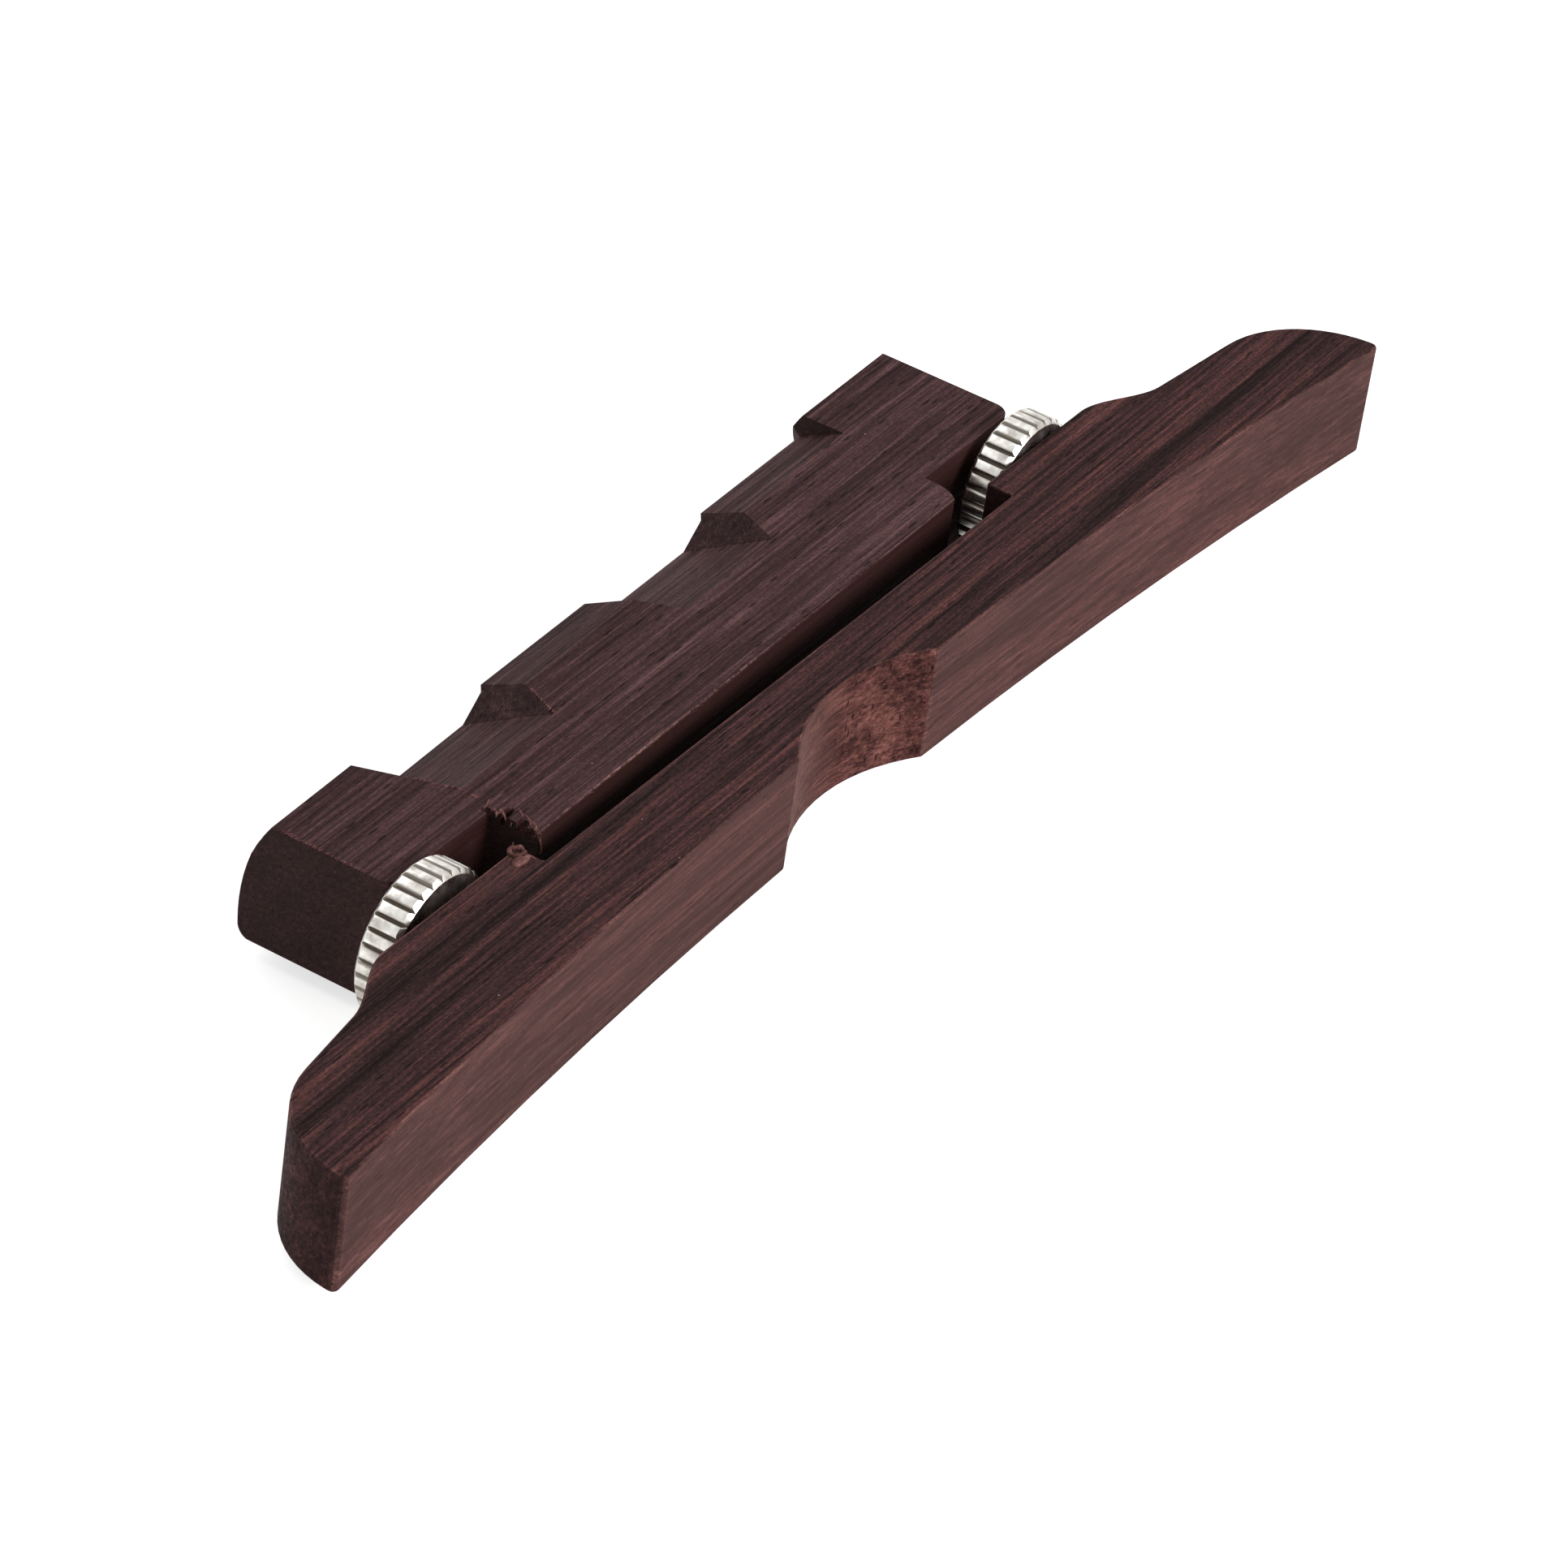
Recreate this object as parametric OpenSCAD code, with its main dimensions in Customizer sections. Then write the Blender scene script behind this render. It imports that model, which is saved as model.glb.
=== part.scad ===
// Adjustable floating bridge for a mandolin, lying on its side.
// A rosewood base with two feet carries two threaded posts. A thumbwheel runs on each post,
// and a compensated rosewood saddle slides over the posts and is lifted by the wheels.
// X runs along the bridge, Y from the feet to the strings, Z up out of the front face.

/* [Base] */
// Length of the base over its two rounded ends
base_len = 115; // [108:1:135]
// Thickness of the base from front face to back face
base_t = 8; // [7:0.1:10]
// Height of the two pads under the wheels, above the tips of the feet
pad_h = 10.4; // [9.5:0.1:13]
// Depth of the shallow valley between the two pads
valley_depth = 1.9; // [1:0.1:2.5]
// Radius of the rounded outer ends, which is also the height of the wing tips
end_r = 7.5; // [6:0.1:8.5]
// Fall of a wing's top from its shoulder to its tip
wing_fall = 0.7; // [0.2:0.1:1.4]
// Length of the S-shaped shoulder from a pad down to its wing
shoulder_run = 6; // [4:0.1:7]
// Flat pad beyond the left wheel's rim
pad_margin_left = 1.7; // [0:0.1:3]
// Flat pad beyond the right wheel's rim
pad_margin_right = 0; // [0:0.1:3]
// Flat pad between a wheel's rim and the valley
pad_margin_inner = 1.5; // [0.4:0.1:1.8]
// Rise of the hollow underside that follows the arched soundboard
belly_rise = 3; // [1:0.1:4]
// Width of the arched notch between the two feet
notch_w = 15.4; // [10:0.1:20]
// Rise of the notch above the hollow underside
notch_rise = 2.3; // [1:0.1:3]

/* [Posts] */
// Distance between the two post axes
post_spacing = 64.7; // [60:0.1:68]
// Distance of the posts' midpoint to the left of the base's middle
post_shift = 0.4; // [0:0.1:0.5]
// Outer diameter of a threaded post
post_d = 3; // [2.5:0.1:3.2]
// Pitch of the post thread
thread_pitch = 0.5; // [0.4:0.05:0.7]
// Depth of the post thread
thread_depth = 0.3; // [0.2:0.01:0.4]
// Length of a post sunk into the base
post_sink = 6.5; // [4:0.1:7]
// Length of a post standing above its pad
post_stand = 10; // [9:0.1:11]
// Chamfer on a post's free end
post_chamfer = 0.4; // [0.2:0.05:0.6]

/* [Thumbwheels] */
// Outer diameter of a wheel over its fluted rim
wheel_d = 10; // [9:0.1:11]
// Thickness of a wheel
wheel_h = 2.3; // [1.8:0.1:3]
// Chamfer on both edges of the rim
wheel_chamfer = 0.3; // [0.1:0.05:0.5]
// Number of flutes around the rim
flute_count = 32; // [24:1:40]
// Width of a flute
flute_w = 0.34; // [0.2:0.02:0.5]
// Depth of a flute
flute_depth = 0.3; // [0.15:0.05:0.4]
// Radial clearance of a wheel on its post
wheel_clearance = 0.05; // [0.02:0.01:0.1]
// Gap between the right wheel, which is turned down furthest, and its pad
wheel_pad_gap = 0.25; // [0.2:0.05:0.5]
// How much further up its post the left wheel stands
left_wheel_up = 0.4; // [0:0.05:1]
// Gap between the left wheel and the saddle
wheel_saddle_gap = 0.3; // [0.2:0.05:0.5]

/* [Saddle] */
// Thickness of the saddle from front face to back face
saddle_t = 7.8; // [7:0.1:9.5]
// Length of the saddle beyond each post axis
saddle_overhang = 2; // [1.9:0.1:6]
// Gap between the saddle's middle and the valley of the base
saddle_gap = 1.75; // [0.3:0.05:2]
// Height of the crown above the tips of the feet at the left end
crown_left = 23.7; // [23:0.1:26]
// Height of the crown above the tips of the feet at the right end
crown_right = 25.1; // [23:0.1:26]
// Radius of the rounded crown across the saddle
crown_r = 11.5; // [9:0.1:20]
// Distance of the crown's highest line behind the middle plane
crown_back = 2.2; // [0:0.1:2.5]
// Rounding along the back edge of the crown
crown_edge_r = 0.9; // [0.4:0.1:1.2]
// Gap between a wheel's rim and the step beside it in the saddle
rebate_gap = 3.6; // [1.5:0.1:4.5]
// Rounding of the lower corner at each end of the saddle
saddle_corner_r = 1.2; // [0.4:0.1:1.5]
// Rounding of the lower right corner of the saddle's middle
floor_corner_r = 2.5; // [0.4:0.1:2.8]
// Radial clearance of the saddle's holes on the posts
post_clearance = 0.08; // [0.03:0.01:0.1]
// Gap between a post's free end and the bottom of its hole
post_end_gap = 0.5; // [0.3:0.1:1]

/* [String ridges] */
// Distance of the ridges' midpoint to the right of the base's middle
ridge_shift = 0.2; // [0:0.1:0.5]
// Length of each low section, at the foot of its long front slope
low_len = 10; // [8:0.1:11]
// Length of each high section, at the foot of its long back slope
high_len = 12; // [9:0.1:12.5]
// Depth of all the ridges below the crown
ridge_drop = 1.7; // [1.2:0.1:2]
// Distance of the low sections' ridges in front of the middle plane
low_ridge_front = 0.2; // [-1:0.1:1]
// Distance of the high sections' ridges in front of the middle plane
high_ridge_front = 2.3; // [1.5:0.1:3]
// Height of a ridge's long slope
long_slope_h = 6.1; // [4.5:0.1:7]
// Height of a ridge's short slope
short_slope_h = 3.1; // [2:0.1:4]
// Flare of the walls between sections, from square to the long slope
wall_flare = 42; // [30:1:48]
// Flare of the wall at the left end of the first section
first_flare = 11; // [5:1:30]
// How far the cuts of two neighbouring sections run into each other
wall_lap = 0.1; // [0.05:0.05:0.3]

/* [Hidden] */
$fn = 96;
fine_fn = 720;
rosewood = "#4a2a26";
rosewood_base = "#54302a";
nickel = "#cfcdc8";
steel = "#8f8d88";
overcut = 1;
slope_overcut = 1.5;
curve_steps = 14;
// How far the rounded back edge runs past the back face, so that the two meet at a clear angle
edge_lap = 0.02;
// Corners of one thread groove: share of a pitch along the post, share of the depth
groove = [[0.125, 0], [0.5, 1], [0.625, 1], [1, 0]];

left_x = -post_spacing / 2 - post_shift;
right_x = post_spacing / 2 - post_shift;
wheel_r = wheel_d / 2;
overall_h = max(crown_left, crown_right);
valley_h = pad_h - valley_depth;
saddle_len = post_spacing + 2 * saddle_overhang;
saddle_floor = valley_h + saddle_gap;
right_wheel_y = pad_h + wheel_pad_gap;
left_wheel_y = right_wheel_y + left_wheel_up;
saddle_seat = left_wheel_y + wheel_h + wheel_saddle_gap;
post_top = pad_h + post_stand;
crown_mid = (crown_left + crown_right) / 2;
taper = atan((crown_right - crown_left) / saddle_len);
low_slope_run = saddle_t / 2 - low_ridge_front;
wall_depth = (long_slope_h - short_slope_h) * low_slope_run / norm([low_slope_run, long_slope_h]);
wall_run = wall_depth * tan(wall_flare) - wall_lap;
period = low_len + high_len + 2 * wall_run;
ridges_start = ridge_shift - (2 * period - wall_run) / 2;

// Radius of the arc that rises by a given height over a given chord
function arc_r(chord, rise) = (chord * chord / 4 + rise * rise) / (2 * rise);

// Top of one wing: an S-curve from the end of its pad, a straight fall and a round end
function wing(pad_end) =
    let (
        tip_x = base_len / 2 - end_r,
        shoulder_h = end_r + wing_fall,
        slope = -wing_fall / (tip_x - pad_end - shoulder_run),
        start_a = 90 + atan(slope)
    )
    concat(
        [for (i = [0 : curve_steps])
            let (u = i / curve_steps, blend = u * u * (3 - 2 * u), bend = u * u * (u - 1))
            [pad_end + u * shoulder_run,
                pad_h + (shoulder_h - pad_h) * blend + slope * shoulder_run * bend]],
        [for (i = [0 : curve_steps])
            let (a = start_a * (1 - i / curve_steps))
            [tip_x + end_r * cos(a), end_r * sin(a)]]
    );

// Points mirrored to the left side, in reverse order
function to_left(points) = [for (i = [len(points) - 1 : -1 : 0]) [-points[i][0], points[i][1]]];

// Moves the bridge from its feet and middle plane to where it lies on the wheel rims
module lie() translate([0, -overall_h / 2, wheel_r]) children();

// Turns a shape that stands along Z to stand along a post
module along_post(x, y) translate([x, y, 0]) rotate([-90, 0, 0]) children();

// Draws a section of thickness and height along the length of the bridge
module along_length(length) rotate([0, -90, 0]) linear_extrude(length, center = true) children();

module base_outline() {
    left = wing(-left_x + wheel_r + pad_margin_left);
    right = wing(right_x + wheel_r + pad_margin_right);
    inner = wheel_r + pad_margin_inner;
    valley = [[left_x + inner, pad_h], [left_x + inner, valley_h],
        [right_x - inner, valley_h], [right_x - inner, pad_h]];
    belly_r = arc_r(base_len, belly_rise);
    notch_r = arc_r(notch_w, notch_rise);
    difference() {
        polygon(concat(to_left(left), valley, right));
        translate([0, belly_rise - belly_r]) circle(belly_r, $fn = fine_fn);
        translate([0, belly_rise + notch_rise - notch_r]) circle(notch_r);
    }
}

module base() {
    color(rosewood_base) lie() difference() {
        linear_extrude(base_t, center = true) base_outline();
        for (x = [left_x, right_x])
            along_post(x, pad_h - post_sink) cylinder(d = post_d, h = post_sink + overcut);
    }
}

// Ringed outline of a post: plain where it is sunk, threaded where it stands
module post_outline() {
    r = post_d / 2;
    root_r = r - thread_depth;
    thread_len = post_stand - post_chamfer;
    turns = floor(thread_len / thread_pitch);
    start = post_sink + thread_len - turns * thread_pitch;
    thread = [for (i = [0 : turns - 1], g = groove)
        [r + (root_r - r) * g[1], start + (i + g[0]) * thread_pitch]];
    top = post_sink + post_stand;
    polygon(concat([[0, 0], [r, 0]], thread, [[r - post_chamfer, top], [0, top]]));
}

module post(x) {
    color(steel) lie() along_post(x, pad_h - post_sink) rotate_extrude() post_outline();
}

module post_left() { post(left_x); }

module post_right() { post(right_x); }

module wheel_outline() {
    bore_r = post_d / 2 + wheel_clearance;
    rim_r = wheel_r - wheel_chamfer;
    polygon([[bore_r, 0], [rim_r, 0], [wheel_r, wheel_chamfer], [wheel_r, wheel_h - wheel_chamfer],
        [rim_r, wheel_h], [bore_r, wheel_h]]);
}

module thumbwheel(x, y) {
    flute = [[wheel_r - flute_depth, 0], [wheel_r + flute_depth, flute_w], [wheel_r + flute_depth, -flute_w]];
    color(nickel) lie() along_post(x, y) difference() {
        rotate_extrude() wheel_outline();
        for (i = [0 : flute_count - 1])
            rotate([0, 0, i * 360 / flute_count]) translate([0, 0, -overcut])
                linear_extrude(wheel_h + 2 * overcut) polygon(flute);
    }
}

module thumbwheel_left() { thumbwheel(left_x, left_wheel_y); }

module thumbwheel_right() { thumbwheel(right_x, right_wheel_y); }

// Material outside the rounding of a lower left corner
module corner_waste(r) difference() {
    translate([-overcut, -overcut]) square(r + overcut);
    translate([r, r]) circle(r);
}

// Front view of the saddle: full height at its ends, with a rebate for each wheel
module saddle_outline() {
    left_end = left_x - saddle_overhang;
    right_end = right_x + saddle_overhang;
    left_step = left_x + wheel_r + rebate_gap;
    right_step = right_x - wheel_r - rebate_gap;
    top = overall_h + overcut;
    difference() {
        polygon([[left_end, top], [left_end, saddle_seat], [left_step, saddle_seat], [left_step, saddle_floor],
            [right_step, saddle_floor], [right_step, saddle_seat], [right_end, saddle_seat], [right_end, top]]);
        translate([left_end, saddle_seat]) corner_waste(saddle_corner_r);
        translate([right_end, saddle_seat]) mirror([1, 0]) corner_waste(saddle_corner_r);
        translate([right_step, saddle_floor]) mirror([1, 0]) corner_waste(floor_corner_r);
    }
}

// Cross section under the rounded crown, with the crown's highest line at height 0
module crown_section() {
    half = saddle_t / 2;
    crown = [-crown_back, -crown_r];
    edge_x = crown_edge_r - half - edge_lap;
    edge_y = crown[1] + sqrt(pow(crown_r - crown_edge_r, 2) - pow(edge_x - crown[0], 2));
    edge = [edge_x, edge_y];
    away = 2 * crown_edge_r * (edge - crown) / norm(edge - crown);
    difference() {
        intersection() {
            translate(crown) circle(crown_r, $fn = fine_fn);
            translate([-half - overcut, -overall_h]) square([saddle_t + 2 * overcut, overall_h]);
        }
        difference() {
            polygon([edge, edge + away, edge + away - [half, 0], edge - [half, 0]]);
            translate(edge) circle(crown_edge_r);
        }
    }
}

// Prism along one slope of a string ridge, which is turned from level by a given angle. Its end walls
// stand square to the slope below it and flare out above it. Height 0 is the line of the ridges.
module flared_prism(start, end, ridge, turn, flares) {
    up = 2 * saddle_t;
    translate([0, 0, ridge]) rotate([turn, 0, 0]) linear_extrude(2 * up, center = true)
        polygon([[start, -up], [start, 0], [start - up * tan(flares[0]), up],
            [end + up * tan(flares[1]), up], [end, 0], [end, -up]]);
}

// Space above the front and back slopes of a string ridge
module above_slopes(ridge, front_h, back_h) {
    half = saddle_t / 2;
    front = [ridge + slope_overcut * (half - ridge), -slope_overcut * front_h];
    back = [ridge - slope_overcut * (half + ridge), -slope_overcut * back_h];
    along_length(2 * saddle_len)
        polygon([[ridge, 0], front, [front[0], overall_h], [back[0], overall_h], back]);
}

// Waste above a low section, whose long slope is in front
module low_waste(start, left_flare) {
    turn = atan(long_slope_h / low_slope_run);
    intersection() {
        flared_prism(start, start + low_len, low_ridge_front, turn, [left_flare, wall_flare]);
        above_slopes(low_ridge_front, long_slope_h, short_slope_h);
    }
}

// Waste above a high section, whose long slope is at the back
module high_waste(start) {
    turn = -atan(long_slope_h / (saddle_t / 2 + high_ridge_front));
    intersection() {
        flared_prism(start, start + high_len, high_ridge_front, turn, [wall_flare, wall_flare]);
        above_slopes(high_ridge_front, short_slope_h, long_slope_h);
    }
}

// Lifts a shape to the line of the ridges, which rises with the crown
module at_ridges() translate([0, crown_mid - ridge_drop, 0]) rotate([0, 0, taper]) children();

module saddle() {
    high_start = ridges_start + low_len + wall_run;
    color(rosewood) lie() difference() {
        intersection() {
            linear_extrude(saddle_t, center = true) saddle_outline();
            translate([-post_shift, crown_mid, 0]) rotate([0, 0, taper])
                along_length(2 * saddle_len) crown_section();
        }
        at_ridges() low_waste(ridges_start, first_flare);
        at_ridges() low_waste(ridges_start + period, wall_flare);
        at_ridges() high_waste(high_start);
        at_ridges() high_waste(high_start + period);
        for (x = [left_x, right_x])
            along_post(x, saddle_seat - overcut)
                cylinder(r = post_d / 2 + post_clearance, h = post_top + post_end_gap - saddle_seat + overcut);
    }
}

base();
post_left();
post_right();
thumbwheel_left();
thumbwheel_right();
saddle();
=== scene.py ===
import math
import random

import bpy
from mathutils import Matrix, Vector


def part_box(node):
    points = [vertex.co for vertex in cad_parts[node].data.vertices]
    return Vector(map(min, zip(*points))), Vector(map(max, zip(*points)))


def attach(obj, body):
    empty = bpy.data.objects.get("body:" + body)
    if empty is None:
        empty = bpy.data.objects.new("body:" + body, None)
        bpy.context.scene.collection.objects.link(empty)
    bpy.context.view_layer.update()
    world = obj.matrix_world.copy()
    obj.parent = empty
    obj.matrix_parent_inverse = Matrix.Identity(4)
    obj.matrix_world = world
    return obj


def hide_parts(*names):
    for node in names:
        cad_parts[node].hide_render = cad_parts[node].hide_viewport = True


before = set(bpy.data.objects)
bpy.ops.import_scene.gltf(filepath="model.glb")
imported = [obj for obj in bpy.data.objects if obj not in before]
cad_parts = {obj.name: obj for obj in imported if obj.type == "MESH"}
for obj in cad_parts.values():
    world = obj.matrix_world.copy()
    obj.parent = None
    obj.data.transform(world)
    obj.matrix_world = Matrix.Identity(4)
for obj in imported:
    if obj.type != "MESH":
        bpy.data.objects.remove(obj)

# %% [markdown]
# This lesson dresses an adjustable mandolin bridge: a dark rosewood base with two feet, two threaded
# posts, two bright thumbwheels and a stepped rosewood saddle. It lies on its side, as on a shop table.
# The solids come from the measured model. Everything below is in metres, and one millimetre gets a name
# because every size is given in it.

MM = 0.001
BRIDGE_HEIGHT = 25.1
WHEEL_DIAMETER = 10
SIDES = ("left", "right")
scene = bpy.context.scene
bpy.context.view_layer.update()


def at(along, up, out):
    """A place in metres, from mm along the bridge, up from its feet and out from its middle plane."""
    return Vector((along, up - BRIDGE_HEIGHT / 2, out + WHEEL_DIAMETER / 2)) * MM


def select_only(*objects):
    """Leaves only these objects selected and makes the first one active."""
    bpy.ops.object.select_all(action="DESELECT")
    for obj in objects:
        obj.select_set(True)
    bpy.context.view_layer.objects.active = objects[0]


def apply_modifier(obj, kind, **settings):
    """Adds one modifier with its settings and applies it."""
    select_only(obj)
    modifier = obj.modifiers.new(kind.lower(), kind)
    for name, value in settings.items():
        setattr(modifier, name, value)
    bpy.ops.object.modifier_apply(modifier=modifier.name)


# %% [markdown]
# A long lens from the left end, a little above the bridge, flattens the perspective. The three
# directions of the camera (right, up and back) are written out because its picture is also tilted by a
# few degrees, which an aim point alone can't say.

# %% Camera
LENS = 172.2
SENSOR_WIDTH = 36
NEAREST_SEEN = 0.01
CAMERA_PLACE = Vector((-326.485, -176.816, 256.767)) * MM
CAMERA_RIGHT = Vector((0.53618, -0.83521, 0.12222))
CAMERA_UP = Vector((0.42918, 0.39442, 0.81255))
CAMERA_BACK = Vector((-0.72686, -0.38321, 0.56994))

bpy.ops.object.camera_add()
camera = bpy.context.active_object
camera.name = "camera"
camera.data.lens = LENS
camera.data.sensor_width = SENSOR_WIDTH
camera.data.clip_start = NEAREST_SEEN
camera.matrix_world = Matrix((CAMERA_RIGHT, CAMERA_UP, CAMERA_BACK)).transposed().to_4x4()
camera.location = CAMERA_PLACE
scene.camera = camera
print("Camera at", [round(c / MM, 1) for c in camera.location], "mm")

# %% [markdown]
# The base and the saddle are sawn from rosewood. A copy of each measured solid is merged into one skin and
# its flat faces are made whole again, so that it can be edited like a piece modelled by hand. Modelling the
# outline again would give the same shape with more chances of error.

# %% Copies of the measured solids
SAME_PLACE = 0.001 * MM


def copy_of_node(node, name, flat=0.1):
    """A copy of a measured solid with its own mesh and two empty material slots. Faces that differ by less
    than the flat angle in degrees are made one."""
    piece = bpy.data.objects.new(name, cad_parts[node].data.copy())
    piece.data.name = name
    piece.data.materials.clear()
    piece.data.materials.append(None)
    piece.data.materials.append(None)
    scene.collection.objects.link(piece)
    select_only(piece)
    bpy.ops.object.mode_set(mode="EDIT")
    bpy.ops.mesh.select_all(action="SELECT")
    bpy.ops.mesh.remove_doubles(threshold=SAME_PLACE)
    bpy.ops.mesh.dissolve_limited(angle_limit=math.radians(flat))
    bpy.ops.object.mode_set(mode="OBJECT")
    return piece


base = copy_of_node("base", "bridge_base")
saddle = copy_of_node("saddle", "bridge_saddle")
print("Base faces:", len(base.data.polygons), "saddle faces:", len(saddle.data.polygons))

# %% [markdown]
# The underside of the saddle's middle is planed by hand, and it rises a little to the right. A cut along a
# slanting plane gives that in one step, and the cut is filled so that the piece stays closed. The cut takes
# every corner within a tenth of a millimetre as lying on its plane, unless a finer limit is given. A piece
# as small as this one needs the finer limit.

# %% The planed underside
ON_PLANE = 0.0001 * MM
FLOOR_START = at(-24.15, 10.25, 0)
FLOOR_END = at(22.6, 10.95, 0)
FLOOR_NORMAL = Vector((FLOOR_START.y - FLOOR_END.y, FLOOR_END.x - FLOOR_START.x, 0)).normalized()

select_only(saddle)
bpy.ops.object.mode_set(mode="EDIT")
bpy.ops.mesh.select_all(action="SELECT")
bpy.ops.mesh.bisect(plane_co=FLOOR_START, plane_no=FLOOR_NORMAL, use_fill=True, clear_inner=True,
                    threshold=ON_PLANE)
bpy.ops.object.mode_set(mode="OBJECT")
print("Saddle faces after planing its underside:", len(saddle.data.polygons))

# %% [markdown]
# The left string ridge is shaped by hand too. It falls off towards the back, its inner wall slants back as
# it rises, and its end face leans in towards the front. Corners are picked by their place and each is moved
# by a share of its distance from a line that stays where it is. New cuts would do as well, but they would
# also need new faces.

# %% Picking and moving corners
NEAR = 0.02 * MM


def select_vertices(obj, wanted):
    """Selects in edit mode the vertices for which wanted(place) is true."""
    bpy.ops.object.mode_set(mode="EDIT")
    bpy.ops.mesh.select_mode(type="VERT")
    bpy.ops.mesh.select_all(action="DESELECT")
    bpy.ops.object.mode_set(mode="OBJECT")
    for vertex in obj.data.vertices:
        vertex.select = wanted(vertex.co)
    bpy.ops.object.mode_set(mode="EDIT")


def move_corners(piece, wanted, step):
    """Moves each corner for which wanted(place) is true by step(place)."""
    corners = [vertex.co.copy() for vertex in piece.data.vertices if wanted(vertex.co)]
    for corner in corners:
        select_vertices(piece, lambda place: (place - corner).length < NEAR)
        bpy.ops.transform.translate(value=step(corner))
    bpy.ops.object.mode_set(mode="OBJECT")
    print("Corners moved on", piece.name + ":", len(corners))


# %% The left string ridge
SADDLE_FRONT_Z = 8.9 * MM
RIDGE_FRONT = at(-34.75, 22, 1.8)
WALL_FOOT = at(-24.2, 19.4, 0)
WALL_REACH = 0.7 * MM
END_BACK = at(-34.75, 0, -3.9)
END_REACH = 3 * MM
# Each lean is a length over a length.
RIDGE_FALL = 0.09
WALL_LEAN = 0.6
END_LEAN = 0.085


def on_ridge_back(place):
    """True on the ridge's top, behind its front part."""
    on_ridge = place.x < WALL_FOOT.x + WALL_REACH and place.y > RIDGE_FRONT.y
    return on_ridge and place.z < RIDGE_FRONT.z


def on_inner_wall(place):
    """True on the wall that faces the other ridges."""
    return abs(place.x - WALL_FOOT.x) < WALL_REACH and place.y > WALL_FOOT.y


def on_end_face(place):
    """True on the end face, and on the front close to it."""
    on_front = place.x < END_BACK.x + END_REACH and place.z > SADDLE_FRONT_Z - NEAR
    return abs(place.x - END_BACK.x) < NEAR or on_front


def end_step(place):
    """The lean of the end face, which fades out along the front."""
    fade = 1 - (place.x - END_BACK.x) / END_REACH
    return END_LEAN * (place.z - END_BACK.z) * fade, 0, 0


move_corners(saddle, on_ridge_back, lambda place: (0, RIDGE_FALL * (place.z - RIDGE_FRONT.z), 0))
move_corners(saddle, on_inner_wall, lambda place: (WALL_LEAN * (WALL_FOOT.y - place.y), 0, 0))
move_corners(saddle, on_end_face, end_step)

# %% [markdown]
# The front edge of the planed underside catches the light as one pale line, and the sharp tips of the feet
# are blunted by handling. These edges get roundings of their own before all the others, because theirs are
# wider. A bevel on picked edges does it, and it puts the new faces in the material slot for worn wood.

# %% Edges blunted by hand
UNDERSIDE_ROUNDING = 0.13 * MM
FOOT_ROUNDING = 0.5 * MM
base_low, base_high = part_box("base")


def round_edges(piece, radius, wanted):
    """Bevels the edges for which wanted(one end, other end) is true, with the second material slot."""
    select_only(piece)
    bpy.ops.object.mode_set(mode="EDIT")
    bpy.ops.mesh.select_mode(type="EDGE")
    bpy.ops.mesh.select_all(action="DESELECT")
    bpy.ops.object.mode_set(mode="OBJECT")
    picked = 0
    for edge in piece.data.edges:
        edge.select = wanted(*[piece.data.vertices[i].co for i in edge.vertices])
        picked += edge.select
    bpy.ops.object.mode_set(mode="EDIT")
    bpy.ops.mesh.bevel(offset=radius, segments=4, affect="EDGES", material=1)
    bpy.ops.object.mode_set(mode="OBJECT")
    print("Edges rounded on", piece.name, "by", round(radius / MM, 2), "mm:", picked)


def on_floor_edge(place):
    """True on the front edge of the saddle's planed underside."""
    return abs((place - FLOOR_START).dot(FLOOR_NORMAL)) < NEAR and abs(place.z - SADDLE_FRONT_Z) < NEAR


def on_foot_tip(place):
    """True on the tips of the two feet."""
    return place.y - base_low.y < NEAR and min(place.x - base_low.x, base_high.x - place.x) < NEAR


round_edges(saddle, UNDERSIDE_ROUNDING, lambda one, other: on_floor_edge(one) and on_floor_edge(other))
round_edges(base, FOOT_ROUNDING, lambda one, other: on_foot_tip(one) and on_foot_tip(other))

# %% [markdown]
# Sanding leaves no edge quite as sharp as a knife, so every edge that turns by more than 25 degrees gets a
# narrow bevel. The rims of the post holes are left out, because they are hidden and lie very close to other
# edges. Roundings are then shaded smooth and flat faces flat. A subdivision modifier would round the edges
# too, but it would also swell the flat faces.

# %% Rounding of all other edges
POST_HOLE = 1.65 * MM
SHARP_ANGLE = 25
SMOOTH_ANGLE = 50
FACE_WEIGHT = 80
BASE_SANDING = 0.16 * MM
SADDLE_SANDING = 0.14 * MM
post_middles = [sum(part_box("post_" + side), Vector()) / 2 for side in SIDES]


def shade(piece):
    """Takes out doubled corners and empty faces, then shades roundings smooth and flat faces flat."""
    select_only(piece)
    bpy.ops.object.mode_set(mode="EDIT")
    bpy.ops.mesh.select_all(action="SELECT")
    bpy.ops.mesh.remove_doubles(threshold=SAME_PLACE)
    bpy.ops.mesh.dissolve_degenerate(threshold=SAME_PLACE)
    bpy.ops.object.mode_set(mode="OBJECT")
    bpy.ops.object.shade_smooth_by_angle(angle=math.radians(SMOOTH_ANGLE))
    apply_modifier(piece, "WEIGHTED_NORMAL", keep_sharp=True, weight=FACE_WEIGHT)


def in_post_hole(place):
    """True inside or on the rim of a hole for a post."""
    return any(math.hypot(place.x - middle.x, place.z - middle.z) < POST_HOLE for middle in post_middles)


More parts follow.
